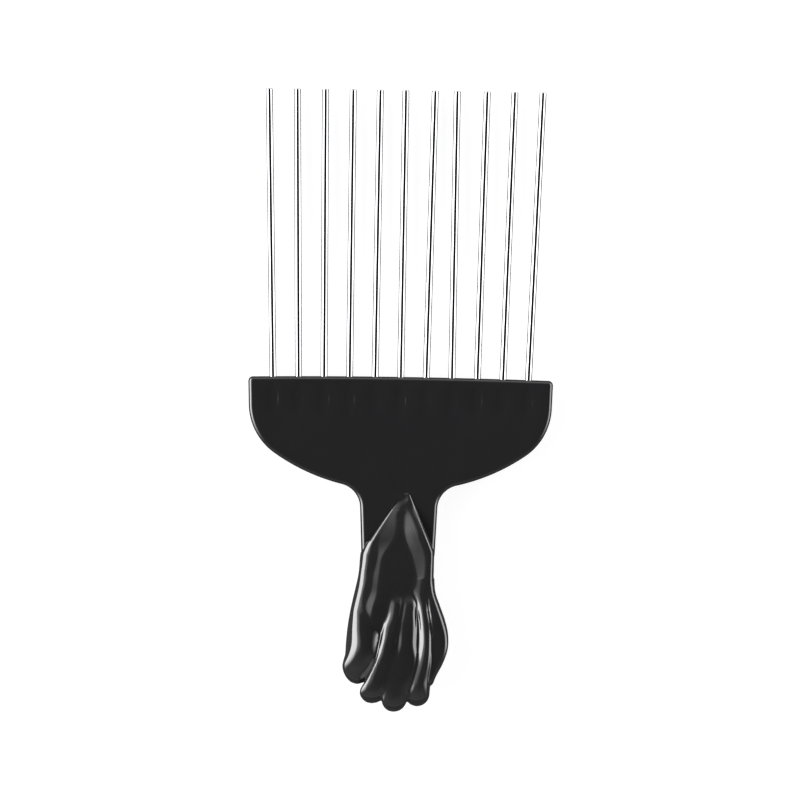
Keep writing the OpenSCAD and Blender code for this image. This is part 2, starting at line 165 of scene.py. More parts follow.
MIDDLE = [
    (-60.0, 2.2, 3.6, 4.6, 4.2, 1.0, 3.8, 2.0),
    (-63.0, 1.2, 3.6, 5.4, 6.1, 1.3, 5.0, 2.2),
    (-66.0, 0.7, 3.4, 5.4, 6.7, 1.6, 5.2, 2.2),
    (-70.0, -0.1, 2.9, 5.7, 6.9, 1.8, 5.4, 2.2),
    (-75.0, -0.1, 2.6, 5.5, 6.9, 1.5, 5.4, 2.2),
    (-80.0, -1.4, 2.3, 6.0, 6.7, 1.3, 5.3, 2.2),
    (-85.0, -2.9, 0.9, 4.6, 6.2, 1.4, 4.9, 2.2),
    (-88.0, -3.7, -0.2, 3.4, 5.6, 1.4, 4.6, 2.2),
    (-94.05, -4.1, -0.6, 2.9, 4.5, 2.2, 4.0, 2.1),
]
RING = [
    (-57.0, 4.9, 7.2, 8.4, 5.0, 1.0, 3.8, 2.0),
    (-60.5, 4.7, 7.4, 8.8, 5.8, 1.2, 4.6, 2.0),
    (-65.0, 5.3, 7.8, 9.2, 6.6, 2.2, 5.2, 2.0),
    (-70.0, 5.9, 8.4, 10.2, 6.9, 2.7, 5.4, 2.1),
    (-75.0, 5.7, 8.8, 10.2, 6.98, 3.0, 5.4, 2.0),
    (-80.0, 4.6, 8.5, 10.2, 6.8, 2.9, 5.2, 1.9),
    (-85.0, 2.9, 7.2, 9.8, 6.1, 3.0, 4.7, 1.75),
    (-88.0, 2.6, 6.8, 9.5, 5.6, 2.5, 4.4, 1.7),
    (-92.4, 2.6, 5.9, 9.3, 4.5, 2.2, 4.0, 2.0),
]
LITTLE = [
    (-57.0, 8.0, 9.0, 9.9, 4.0, 1.0, 3.5, 2.2),
    (-60.0, 8.1, 9.2, 10.35, 5.6, 1.9, 4.3, 2.8),
    (-64.0, 8.5, 9.6, 11.9, 6.45, 3.0, 4.7, 3.4),
    (-68.0, 9.1, 10.3, 13.4, 6.75, 2.8, 4.8, 3.3),
    (-72.0, 9.5, 10.8, 14.35, 6.7, 2.5, 4.8, 3.6),
    (-76.0, 9.4, 11.0, 14.35, 6.5, 2.0, 4.6, 3.4),
    (-80.0, 9.2, 10.8, 13.1, 5.9, 1.7, 4.3, 3.0),
    (-84.0, 8.6, 9.9, 11.1, 5.0, 1.6, 3.8, 2.6),
    (-86.6, 8.2, 9.2, 10.2, 4.3, 1.6, 3.4, 2.4),
]
# The web under the fingers, which is the floor of the grooves
WEB = [
    (-60.0, 0.0, 3.5, 8.0, 4.0, 1.0, 3.5, 3.0),
    (-64.0, -2.5, 3.5, 9.0, 5.2, 1.0, 4.4, 2.6),
    (-67.0, -4.6, 3.5, 9.6, 5.6, 1.0, 4.7, 2.6),
    (-70.0, -5.0, 3.5, 10.2, 5.8, 1.0, 4.8, 2.6),
    (-73.0, -4.0, 3.3, 10.3, 5.9, 1.0, 4.8, 2.6),
    (-76.0, -3.6, 3.1, 10.4, 5.9, 1.0, 4.7, 2.8),
    (-80.0, -4.8, 2.5, 10.0, 5.7, 1.0, 4.6, 3.0),
    (-84.0, -7.0, 1.5, 9.0, 5.1, 1.0, 4.2, 3.0),
    (-88.0, -7.6, 0.0, 7.0, 4.2, 1.0, 3.7, 3.0),
]
BACK = [
    (-38.0, -1.6, 2.1, 5.8, 3.0, 1.0, 3.8, 2.0),
    (-45.0, -6.0, 1.0, 8.0, 3.0, 1.0, 4.7, 2.0),
    (-50.0, -8.6, 0.0, 9.2, 3.0, 1.0, 5.2, 2.0),
    (-58.0, -10.0, 0.0, 9.6, 3.0, 1.0, 5.54, 2.0),
    (-64.0, -11.0, 0.0, 10.6, 3.0, 1.0, 5.52, 2.0),
    (-70.0, -12.0, 0.0, 12.0, 3.0, 1.0, 5.1, 2.0),
    (-78.0, -12.0, 0.0, 12.0, 3.0, 1.0, 4.2, 2.0),
]
FINGERS = [INDEX, MIDDLE, RING, LITTLE]
# Length of the round ends, as a share of the half width there
FINGER_TIP = 1.05
THUMB_TIP = 1.35
# Squareness of the backs of the fingers and of the hand
FINGER_BACK_POWER = 2.2
BACK_POWER = 2.4
# A lobe's front dome takes at most this share of its front height
FRONT_DOME_LIMIT = 0.92
# Its back dome is this share of its half width deep, and takes at most that share of its back height
BACK_DOME_SHARE = 0.55
BACK_DOME_LIMIT = 0.9
# How softly the forms run into each other; the fingers meet the palm softly, and the thumb sharply lower down
THUMB_BLEND = 0.9
GROOVE_BLEND = 0.6
BACK_BLEND = 0.8
FINGER_BLEND = 1.2
TIP_GROOVE_BLEND = 0.35
TIP_GROOVE_Y = -82
TIP_GROOVE_RUN = 6

# ---- the grid that the hand is worked out on, and the net drawn over it
CELL = 0.26
HAND_BOX_LOW = [-17.0, -97.0, -7.5]
HAND_BOX_HIGH = [17.0, -29.5, 8.5]
# Limits to the steepness by which a field is divided to make it a distance
STEEPNESS = (0.3, 6.0)
CHECKER_ROUNDS = 8
JUST_INSIDE = -0.01 * CELL
NET_ROUNDS = 5

# ---- where the shading breaks, in degrees
HANDLE_SHARP = 38
TINE_SHARP = 50
FLAT_SHARP = 9
FLAT_NORMAL = 0.99999


# ---- outlines

def arc(centre, r, start, end, steps):
    """Points [x, y, direction of the outward normal] on a circle, angles in degrees."""
    return [(centre[0] + r * math.cos(math.radians(a)), centre[1] + r * math.sin(math.radians(a)), a)
            for a in (start + (end - start) * k / steps for k in range(steps + 1))]


def hollow_arc(centre, r, start, end, steps):
    """The same on a hollow curve, whose normals point at its centre."""
    return [(2 * centre[0] - x, 2 * centre[1] - y, a) for x, y, a in arc(centre, r, start, end, steps)]


def along(p, distance):
    """The point at a distance from p in the direction that p holds."""
    a = math.radians(p[2])
    return p[0] + distance * math.cos(a), p[1] + distance * math.sin(a)


def plate_outline():
    """Outline of the head and the neck, clockwise, down to a tongue that ends inside the hand."""
    sin, cos = (lambda a: math.sin(math.radians(a))), (lambda a: math.cos(math.radians(a)))
    half = HEAD_W / 2
    crown_r = (half * half + EDGE_CROWN * EDGE_CROWN) / (2 * EDGE_CROWN)
    shoulder_end = SIDE_LEAN + SHOULDER_TURN
    belly_end = shoulder_end + BELLY_TURN
    turn = math.degrees(math.asin((half - CORNER_R) / (crown_r - CORNER_R)))
    crown = arc((0, -crown_r), crown_r, 90 - turn / CROWN_STEPS, 90 - turn, CROWN_STEPS - 1)
    corner = arc(along((0, -crown_r, 90 - turn), crown_r - CORNER_R), CORNER_R, 90 - turn, -SIDE_LEAN,
                 CORNER_STEPS)
    side = corner[-1]
    side_end = (side[0] - SIDE_LEN * sin(SIDE_LEAN), side[1] - SIDE_LEN * cos(SIDE_LEAN), -SIDE_LEAN)
    shoulder = arc(along(side_end, -SHOULDER_R), SHOULDER_R, -SIDE_LEAN, -shoulder_end, SHOULDER_STEPS)
    start = shoulder[-1]
    fillet_in = NECK_FILLET_R * (cos(NECK_LEAN) - cos(belly_end))
    belly_r = (start[0] - fillet_in - NECK_W / 2) / (cos(shoulder_end) - cos(belly_end))
    belly = arc(along(start, -belly_r), belly_r, -shoulder_end, -belly_end, BELLY_STEPS)
    fillet = hollow_arc(along(belly[-1], NECK_FILLET_R), NECK_FILLET_R, -belly_end, -NECK_LEAN, FILLET_STEPS)
    neck = fillet[-1]
    run = (neck[1] + CUFF_DROP + HAND_LEN * TONGUE_SHARE) / cos(NECK_LEAN)
    tongue_r = (neck[0] - run * sin(NECK_LEAN)) / cos(NECK_LEAN)
    tongue_y = neck[1] - run * cos(NECK_LEAN) + tongue_r * sin(NECK_LEAN)
    tongue = arc((0, tongue_y), tongue_r, -NECK_LEAN, -TONGUE_END, TONGUE_STEPS)
    right = crown + corner[1:] + [side_end] + shoulder[1:] + belly[1:] + fillet[1:] + tongue
    return right + [(-x, y, 180 - a) for x, y, a in reversed(right)]


def rounded(corners, r, steps):
    """A clockwise polygon with round corners."""
    loop = []
    for k, b in enumerate(corners):
        a, c = corners[k - 1], corners[(k + 1) % len(corners)]
        before = math.degrees(math.atan2(b[1] - a[1], b[0] - a[0])) + 90
        turn = math.degrees(math.atan2(c[1] - b[1], c[0] - b[0])) + 90 - before
        turn = turn - 360 if turn > 0 else turn
        centre = along((b[0], b[1], before + turn / 2), -r / math.cos(math.radians(turn / 2)))
        loop += [p[:2] for p in arc(centre, r, before, before + turn, steps)]
    return loop


# ---- signed fields on a grid, negative inside, in mm

def smin(a, b, k):
    """The lower of two fields, with the crease between them filled over a width k."""
    return np.minimum(a, b) - np.maximum(k - np.abs(a - b), 0) ** 2 / (4 * k)


def smax_round(a, b, r):
    """The higher of two fields, with the edge between them rounded to a radius r."""
    u, v = np.maximum(a + r, 0), np.maximum(b + r, 0)
    return np.minimum(np.maximum(a, b), -r) + np.hypot(u, v)


def as_distance(f):
    """A field divided by its own steepness, which makes it nearly a distance."""
    gx, gy, gz = np.gradient(f, CELL)
    return f / np.clip(np.sqrt(gx * gx + gy * gy + gz * gz), *STEEPNESS)


def smooth(rows, y, column):
    """One column of a table at y, on a smooth curve through its rows, which run down towards lower y."""
    t = -np.asarray([r[0] for r in rows], float)
    v = np.asarray([r[column] for r in rows], float)
    s, last = -y, len(t) - 1
    k = np.clip(np.searchsorted(t, s, "right") - 1, 0, last - 1)
    low, high = np.maximum(np.arange(last + 1) - 1, 0), np.minimum(np.arange(last + 1) + 1, last)
    slope = (v[high] - v[low]) / (t[high] - t[low])
    step = t[k + 1] - t[k]
    u = np.clip((s - t[k]) / step, 0, 1)
    return (v[k] * (1 + 2 * u) * (1 - u) ** 2 + slope[k] * step * u * (1 - u) ** 2
            + v[k + 1] * u * u * (3 - 2 * u) - slope[k + 1] * step * u * u * (1 - u))


def polygon_distance(points, x, y):
    """Distance to a polygon's outline over a grid, negative inside."""
    X, Y = np.meshgrid(x, y, indexing="ij")
    best = np.full(X.shape, 1e9)
    inside = np.zeros(X.shape, bool)
    for (ax, ay), (bx, by) in zip(points, points[1:] + points[:1]):
        ex, ey = bx - ax, by - ay
        t = np.clip(((X - ax) * ex + (Y - ay) * ey) / (ex * ex + ey * ey), 0, 1)
        best = np.minimum(best, np.hypot(X - ax - t * ex, Y - ay - t * ey))
        if ay != by:
            inside ^= ((ay > Y) != (by > Y)) & (X < ex * (Y - ay) / ey + ax)
    return np.where(inside, -best, best)


def palm_height(x, y):
    """Height of the palm: straight runs between its corners, which are eased by a short running mean."""
    rows = [[station] + [v for corner in corners for v in corner] for station, corners in PALM]
    n = len(PALM[0][1])
    cx = np.array([smooth(rows, y, 1 + 2 * k) for k in range(n)])
    cz = np.array([smooth(rows, y, 2 + 2 * k) for k in range(n)])
    shifts = PALM_BLUR * (np.arange(PALM_BLUR_STEPS + 1) / PALM_BLUR_STEPS - 0.5)
    height = np.empty((len(x), len(y)))
    for j in range(len(y)):
        height[:, j] = np.mean([np.interp(x + shift, cx[:, j], cz[:, j]) for shift in shifts], axis=0)
    return height


def on_y(values):
    """Values along y, set up to spread over the grid."""
    return values[None, :, None]


def lobe(rows, x, y, z, back_power=FINGER_BACK_POWER, tip=FINGER_TIP):
    """Field of a lobe: a domed front, upright sides and a rounded back. Without a tip its end is cut straight.

    Towards the tip its widths shrink along a round cap, and its heights between that cap and one twice as long.
    """
    first, last = rows[0][0], rows[-1][0]
    size = tall = np.ones_like(y)
    if tip:
        tip_len = tip * (rows[-1][3] - rows[-1][1]) / 2
        size, long = (np.sqrt(1 - np.clip((last + run - y) / run, 0, 0.998) ** 2)
                      for run in (tip_len, 2 * tip_len))
        tall = np.sqrt(size * long)
    left, crest, right = (smooth(rows, y, c) for c in (1, 2, 3))
    mid = (left + right) / 2
    left, crest, right = (mid + (v - mid) * size for v in (left, crest, right))
    front, depth, back = (smooth(rows, y, c) * tall for c in (4, 5, 6))
    depth = np.minimum(depth, front * FRONT_DOME_LIMIT)
    half = (right - left) / 2
    back_wall = back - np.minimum(BACK_DOME_SHARE * half, back * BACK_DOME_LIMIT)
    xx, zz = x[:, None, None], z[None, None, :]
    over_left = xx < on_y(crest)
    a = np.where(over_left, (on_y(crest) - xx) / on_y(crest - left), (xx - on_y(crest)) / on_y(right - crest))
    p = on_y(smooth(rows, y, 7))
    b = np.maximum(zz - on_y(front - depth), 0) / on_y(depth)
    front_form = (a ** p + b ** p) ** (1 / p)
    a = np.abs(xx - on_y(mid)) / on_y(half)
    b = np.maximum(-zz - on_y(back_wall), 0) / on_y(back - back_wall)
    back_form = (a ** back_power + b ** back_power) ** (1 / back_power)
    f = as_distance((np.where(zz > 0, front_form, back_form) - 1) * on_y(half))
    return np.maximum(f, on_y(np.maximum(y - first, last - y)))


def hand_field(x, y, z):
    """Field of the whole hand: cuff and palm, then the back, the thumb and the fingers run into them."""
    top = as_distance(z[None, None, :] - palm_height(x, y)[:, :, None])
    bottom = -z[None, None, :] - CUFF_HALF_T
    loop = rounded([(cx, cy - CUFF_DROP) for cx, cy in CUFF], CUFF_CORNER, CUFF_CORNER_STEPS)
    plan = polygon_distance(loop, x, y)[:, :, None]
    left, right = smooth(RIMS, y, 1), smooth(RIMS, y, 2)
    rim = (left + (right - left) * np.clip(x / RIM_CHANGE + 0.5, 0, 1)[:, None])[:, :, None]
    hand = smax_round(smax_round(top, bottom, rim), plan, rim)
    hand = smin(hand, lobe(BACK, x, y, z, BACK_POWER, tip=0), BACK_BLEND)
    hand = smin(hand, lobe(THUMB, x, y, z, tip=THUMB_TIP), THUMB_BLEND)
    fingers = lobe(WEB, x, y, z, tip=0)
    for rows in FINGERS:
        fingers = smin(fingers, lobe(rows, x, y, z), GROOVE_BLEND)
    softness = np.clip((y - TIP_GROOVE_Y) / TIP_GROOVE_RUN, 0, 1)
    blend = TIP_GROOVE_BLEND + (FINGER_BLEND - TIP_GROOVE_BLEND) * softness
    return without_checkers(smin(hand, fingers, on_y(blend)))


def without_checkers(f):
    """Fills the few places where two parts of the surface touch at a cell's edge, so that the mesh closes well."""
    for _ in range(CHECKER_ROUNDS):
        found = False
        for u, v in ((0, 1), (0, 2), (1, 2)):
            part = [[slice(None)] * 3 for _ in range(4)]
            for k, (du, dv) in enumerate(((0, 0), (1, 0), (0, 1), (1, 1))):
                part[k][u] = slice(1, None) if du else slice(None, -1)
                part[k][v] = slice(1, None) if dv else slice(None, -1)
            a, b, c, d = (f[tuple(p)] < 0 for p in part)
            checker = (a == d) & (b == c) & (a != b)
            if checker.any():
                found = True
                for p in part:
                    view = f[tuple(p)]
                    view[checker & (view >= 0)] = JUST_INSIDE
        if not found:
            break
    return f


# ---- meshes

def sample(grid, at):
    """Values of a grid between its points; at is in cells."""
    limit = np.array(grid.shape) - 2
    i = np.clip(np.floor(at).astype(int), 0, limit)
    f = at - i
    value = 0
    for corner in range(8):
        o = np.array([corner & 1, corner >> 1 & 1, corner >> 2 & 1])
        weight = np.prod(np.where(o, f, 1 - f), axis=1)
        j = i + o
        value = value + grid[j[:, 0], j[:, 1], j[:, 2]] * weight
    return value


def surface_net(f, origin, h):
    """Points and quads on the zero surface of a field: one point to a cell, then spread and drawn on to it."""
    inside = f < 0
    corners = sum(inside[a:f.shape[0] - 1 + a, b:f.shape[1] - 1 + b, c:f.shape[2] - 1 + c].astype(np.int8)
                  for a in (0, 1) for b in (0, 1) for c in (0, 1))
    mixed = (corners > 0) & (corners < 8)
    cells = np.argwhere(mixed)
    index = np.full(mixed.shape, -1)
    index[mixed] = np.arange(len(cells))
    at, crossings = np.zeros((len(cells), 3)), np.zeros(len(cells))
    for axis in range(3):
        for pair in range(4):
            start = np.zeros(3, int)
            start[(axis + 1) % 3], start[(axis + 2) % 3] = pair & 1, pair >> 1
            a, b = cells + start, cells + start
            b = b + np.eye(3, dtype=int)[axis]
            fa, fb = f[tuple(a.T)], f[tuple(b.T)]
            hit = (fa < 0) != (fb < 0)
            t = np.where(hit, fa / np.where(hit, fa - fb, 1), 0)
            point = a + t[:, None] * np.eye(3)[axis]
            at += np.where(hit[:, None], point, 0)
            crossings += hit
    at /= crossings[:, None]
    slopes = np.gradient(f, 1.0)
    quads = []
    for axis in range(3):
        u, v = (axis + 1) % 3, (axis + 2) % 3
        lo = [slice(1, -1)] * 3
        hi = [slice(1, -1)] * 3
        lo[axis], hi[axis] = slice(0, -1), slice(1, None)
        a, b = inside[tuple(lo)], inside[tuple(hi)]
        for leaving in (True, False):
            edges = np.argwhere((a & ~b) if leaving else (~a & b))
            edges[:, u] += 1
            edges[:, v] += 1
            ring = []
            for du, dv in ((0, 0), (-1, 0), (-1, -1), (0, -1)):
                c = edges.copy()
                c[:, u] += du
                c[:, v] += dv
                ring.append(index[tuple(c.T)])
            quads.append(np.stack(ring if leaving else ring[::-1], 1))
    quads = np.concatenate(quads)
    edges = np.concatenate([quads[:, [k, (k + 1) % 4]] for k in range(4)])
    for round_ in range(NET_ROUNDS):
        if round_:
            total, count = np.zeros_like(at), np.zeros(len(at))
            np.add.at(total, edges[:, 0], at[edges[:, 1]])
            np.add.at(count, edges[:, 0], 1)
            at += 0.5 * (total / count[:, None] - at)
        for _ in range(2):
            value = sample(f, at)
            g = np.stack([sample(s, at) for s in slopes], 1)
            at -= np.clip(value / np.maximum((g * g).sum(1), 0.05), -0.5, 0.5)[:, None] * g
    return origin + at * h, quads


def new_object(name, points, faces, material):
    mesh = bpy.data.meshes.new(name)
    mesh.from_pydata([tuple(p) for p in points], [], [tuple(f) for f in faces])
    mesh.validate()
    obj = bpy.data.objects.new(name, mesh)
    bpy.context.collection.objects.link(obj)
    if material:
        mesh.materials.append(material)
    return obj


def to_frame(points):
    """Work frame in mm to the shared frame in metres."""
    return (np.asarray(points, float) + (0, ORIGIN_DROP, MID_Z)) * MM


def tine_x(i):
    """Where a tine leaves the head."""
    return (i - (TINE_COUNT - 1) / 2) * (HEAD_W - 2 * TINE_MARGIN) / (TINE_COUNT - 1)


def tine_lean(i):
    """Its lean in degrees, towards +X."""
    return FAN_ANGLE * (2 * i / (TINE_COUNT - 1) - 1) + STRAY_ANGLES[i]


# Shallow sink marks over the tines' roots: middle along, half length, half width, depth
SINK_Y = -6.6
SINK_HALF_LEN = 5.2
SINK_HALF_W = 1.7
SINK_DEPTH = 0.13
SINK_EDGE = 0.34
SINK_STEPS = 44


def sink_points():
    """Rings of (x, y, depth) over each mark: a flat floor inside an eased edge. The depths vary a little."""
    points = []
    for i in range(TINE_COUNT):
        for r in (0, 0.3, 1 - SINK_EDGE, 1 - 0.75 * SINK_EDGE, 1 - 0.5 * SINK_EDGE, 1 - 0.25 * SINK_EDGE, 1):
            t = min((1 - r) / SINK_EDGE, 1)
            depth = SINK_DEPTH * t * t * (3 - 2 * t) * (0.9 + 0.1 * math.cos(2.4 * i))
            for k in range(SINK_STEPS if r else 1):
                a = 2 * math.pi * k / SINK_STEPS
                y = SINK_Y + r * SINK_HALF_LEN * math.sin(a)
                cx = tine_x(i) + y * math.tan(math.radians(tine_lean(i)))
                points.append((cx + r * SINK_HALF_W * math.cos(a), y, depth))
    return points


def plate_mesh():
    """Points and faces of the head and the neck: rounded edges, a plain back and sink marks in the front."""
    loop = plate_outline()
    n = len(loop)
    half = PLATE_T / 2
    levels = []
    for k in range(EDGE_STEPS + 1):
        a = math.radians(90 * k / EDGE_STEPS)
        levels.append((EDGE_R * (1 - math.cos(a)), half - EDGE_R + EDGE_R * math.sin(a)))
    levels = [(inset, -z) for inset, z in reversed(levels)] + levels
    points, faces = [], []
    for inset, z in levels:
        points += [(*along(p, -inset), z) for p in loop]
    for k in range(len(levels) - 1):
        for i in range(n):
            j = (i + 1) % n
            faces.append((k * n + i, (k + 1) * n + i, (k + 1) * n + j, k * n + j))
    for side, base in ((-1, 0), (1, (len(levels) - 1) * n)):
        ring = [Vector(points[base + i][:2]) for i in range(n)]
        inner = sink_points() if side > 0 else []
        flat = ring + [Vector(p[:2]) for p in inner]
        verts, _, tris, origs, _, _ = delaunay_2d_cdt(flat, [], [list(range(n))[::-1]], 1, 1e-5)
        number = []
        for v, orig in zip(verts, origs):
            source = next((o for o in orig if o < n), None)
            if source is not None:
                number.append(base + source)
            else:
                number.append(len(points))
                points.append((v[0], v[1], side * half - (inner[orig[0] - n][2] if orig else 0)))
        for t in tris:
            t = [number[k] for k in t]
            ax, ay, _ = points[t[0]]
            bx, by, _ = points[t[1]]
            cx, cy, _ = points[t[2]]
            up = (bx - ax) * (cy - ay) - (by - ay) * (cx - ax) > 0
            faces.append(t if up == (side > 0) else t[::-1])
    return points, faces


def boolean(obj, other, operation):
    """Joins the other object to this one or cuts it out, and removes it."""
    mod = obj.modifiers.new("join", "BOOLEAN")
    mod.operation, mod.solver, mod.object = operation, "MANIFOLD", other
    deps = bpy.context.evaluated_depsgraph_get()
    mesh = bpy.data.meshes.new_from_object(obj.evaluated_get(deps))
    obj.modifiers.clear()
    old, obj.data = obj.data, mesh
    bpy.data.meshes.remove(old)
    bpy.data.objects.remove(other)


def crease_round_flat(mesh):
    """Keeps the flat of the head truly flat: sharp edges where it meets a face that leans away."""
    normals = np.empty(len(mesh.polygons) * 3)
    mesh.polygons.foreach_get("normal", normals)
    up = normals.reshape(-1, 3)[:, 2]
    loops = np.empty(len(mesh.loops), int)
    mesh.loops.foreach_get("edge_index", loops)
    counts = np.empty(len(mesh.polygons), int)
    mesh.polygons.foreach_get("loop_total", counts)
    faces = np.repeat(np.arange(len(counts)), counts)
    most, least = np.full(len(mesh.edges), -1.0), np.full(len(mesh.edges), 1.0)
    np.maximum.at(most, loops, np.abs(up[faces]))
    np.minimum.at(least, loops, np.abs(up[faces]))
    sharp = np.empty(len(mesh.edges), bool)
    mesh.edges.foreach_get("use_edge_sharp", sharp)
    sharp |= (most > FLAT_NORMAL) & (least < math.cos(math.radians(FLAT_SHARP)))
    mesh.edges.foreach_set("use_edge_sharp", sharp)


def tine_matrix(i):
    """From a tine's own frame, root at its origin and tip towards +Z, to the work frame."""
    return (Matrix.Translation((tine_x(i), 0, 0)) @ Matrix.Rotation(math.radians(-tine_lean(i)), 4, "Z")
            @ Matrix.Translation((0, -ROOT_DEPTH, 0)) @ Matrix.Rotation(math.radians(-90), 4, "X"))


def revolved(profile, matrix, segments):
    """A closed solid of revolution about Z from (radius, height) pairs that start and end on the axis."""
    points = [matrix @ Vector((0, 0, profile[0][1]))]
    faces = []
    for r, z in profile[1:-1]:
        for s in range(segments):
            a = 2 * math.pi * s / segments
            points.append(matrix @ Vector((r * math.cos(a), r * math.sin(a), z)))
    points.append(matrix @ Vector((0, 0, profile[-1][1])))
    rings, last = len(profile) - 2, len(points) - 1
    for s in range(segments):
        t = (s + 1) % segments
        faces.append((0, 1 + t, 1 + s))
        for k in range(rings - 1):
            low, high = 1 + k * segments, 1 + (k + 1) * segments
            faces.append((low + s, low + t, high + t, high + s))
        top = 1 + (rings - 1) * segments
        faces.append((top + s, top + t, last))
    return points, faces


# ---- materials

def node_tree(name):
    material = bpy.data.materials.new(name)
    material.use_nodes = True
    nodes, links = material.node_tree.nodes, material.node_tree.links
    shader = nodes["Principled BSDF"]
    return material, nodes, links, shader


def noise(nodes, links, coordinates, scale, detail=2.0, stretch=(1, 1, 1)):
    mapping = nodes.new("ShaderNodeMapping")
    mapping.inputs["Scale"].default_value = stretch
    links.new(coordinates, mapping.inputs["Vector"])
    texture = nodes.new("ShaderNodeTexNoise")
    texture.inputs["Scale"].default_value = scale
    texture.inputs["Detail"].default_value = detail
    links.new(mapping.outputs["Vector"], texture.inputs["Vector"])
    return texture.outputs["Fac"]


def ranged(nodes, links, value, low, high, to_low, to_high):
    node = nodes.new("ShaderNodeMapRange")
    node.inputs["From Min"].default_value = low
    node.inputs["From Max"].default_value = high
    node.inputs["To Min"].default_value = to_low
    node.inputs["To Max"].default_value = to_high
    links.new(value, node.inputs["Value"])
    return node.outputs["Result"]


def bumps(nodes, links, height, strength, distance, under=None):
    node = nodes.new("ShaderNodeBump")
    node.inputs["Strength"].default_value = strength
    node.inputs["Distance"].default_value = distance
    links.new(height, node.inputs["Height"])
    if under:
        links.new(under, node.inputs["Normal"])
    return node.outputs["Normal"]


def colour_mix(nodes, links, factor, dark, light):
    node = nodes.new("ShaderNodeMix")
    node.data_type = "RGBA"
    node.inputs[6].default_value = (*dark, 1)
    node.inputs[7].default_value = (*light, 1)
    links.new(factor, node.inputs[0])
    return node.outputs[2]


def plastic_material():
    """Gloss black moulding: a soft ripple of the mould's polish, faint flow streaks and hairlines."""
    material, nodes, links, shader = node_tree("black_plastic")
    place = nodes.new("ShaderNodeTexCoord").outputs["Object"]
    cloud = noise(nodes, links, place, 90, 3)
    hairs = noise(nodes, links, place, 420, 4, (1, 0.06, 1))
    ripple = noise(nodes, links, place, 260, 1)
    links.new(colour_mix(nodes, links, cloud, (0.0160, 0.0160, 0.0170), (0.0205, 0.0205, 0.0216)),
              shader.inputs["Base Color"])
    links.new(ranged(nodes, links, hairs, 0.35, 0.75, 0.05, 0.11), shader.inputs["Roughness"])
    soft = bumps(nodes, links, ripple, 0.12, 0.0001)
    links.new(bumps(nodes, links, hairs, 0.04, 0.00003, soft), shader.inputs["Normal"])
    shader.inputs["IOR"].default_value = 1.56
    shader.inputs["Specular IOR Level"].default_value = 1.0
    return material


def chrome_material():
    """Bright plated wire, with the fine lengthwise marks of drawing."""
    material, nodes, links, shader = node_tree("bright_wire")
    place = nodes.new("ShaderNodeTexCoord").outputs["Object"]
    drawn = noise(nodes, links, place, 1500, 3, (1, 0.02, 1))
    cloud = noise(nodes, links, place, 60, 2)
    links.new(colour_mix(nodes, links, cloud, (0.74, 0.75, 0.76), (0.82, 0.83, 0.84)), shader.inputs["Base Color"])
    links.new(ranged(nodes, links, drawn, 0.3, 0.7, 0.03, 0.07), shader.inputs["Roughness"])
    links.new(bumps(nodes, links, drawn, 0.08, 0.00002), shader.inputs["Normal"])
    shader.inputs["Metallic"].default_value = 1.0
    return material


def floor_material():
    """White to the camera, dark in reflections, and a plain pale surface for the light that falls on it."""
    material = bpy.data.materials.new("floor")
    material.use_nodes = True
    nodes, links = material.node_tree.nodes, material.node_tree.links
    nodes.clear()
    rays = nodes.new("ShaderNodeLightPath")
    mirrored = nodes.new("ShaderNodeMath")
    mirrored.operation = "MAXIMUM"
    links.new(rays.outputs["Is Glossy Ray"], mirrored.inputs[0])
    links.new(rays.outputs["Is Transmission Ray"], mirrored.inputs[1])

    def surface(shade, glow):
        diffuse, emission = nodes.new("ShaderNodeBsdfDiffuse"), nodes.new("ShaderNodeEmission")
        diffuse.inputs["Color"].default_value = (shade, shade, shade, 1)
        emission.inputs["Strength"].default_value = glow
        add = nodes.new("ShaderNodeAddShader")
        links.new(diffuse.outputs[0], add.inputs[0])
        links.new(emission.outputs[0], add.inputs[1])
        return add.outputs[0]

    def choose(factor, other, seen):
        mix = nodes.new("ShaderNodeMixShader")
        links.new(factor, mix.inputs[0])
        links.new(other, mix.inputs[1])
        links.new(seen, mix.inputs[2])
        return mix.outputs[0]

    colour = choose(mirrored.outputs[0], surface(0.8, 0.0), surface(0.1, 0.02))
    colour = choose(rays.outputs["Is Camera Ray"], colour, surface(0.24, 0.9))
    links.new(colour, nodes.new("ShaderNodeOutputMaterial").inputs["Surface"])
    return material


# ---- studio: a dark ceiling, a strong soft box on the left, a weaker one on the right, dim glows at the
# foot and the head

# Direction round the object, half width and soft edge in degrees, strength, then heights in degrees: the spill
# round the box fades out between the first two, the box itself between the last two
BOXES = [(168.0, 34.0, 40.0, 7.0, 64.0, 50.0, 47.0, 37.0),
         (12.0, 34.0, 30.0, 3.5, 54.0, 44.0, 45.0, 35.0),
         (-90.0, 55.0, 50.0, 0.2, 84.0, 56.0, 70.0, 34.0),
         (90.0, 55.0, 50.0, 0.7, 62.0, 50.0, 50.0, 34.0)]
SPILL_SHARE = 0.15
# Height and depth in degrees of the soft lower end of the boxes
BOX_FOOT = 1.0
BOX_FOOT_RUN = 4.0
CEILING = 0.01
# Glow at the horizon, and the height and depth in degrees of its soft upper end
HORIZON = 0.2
HORIZON_TOP = 7.0
HORIZON_RUN = 5.0


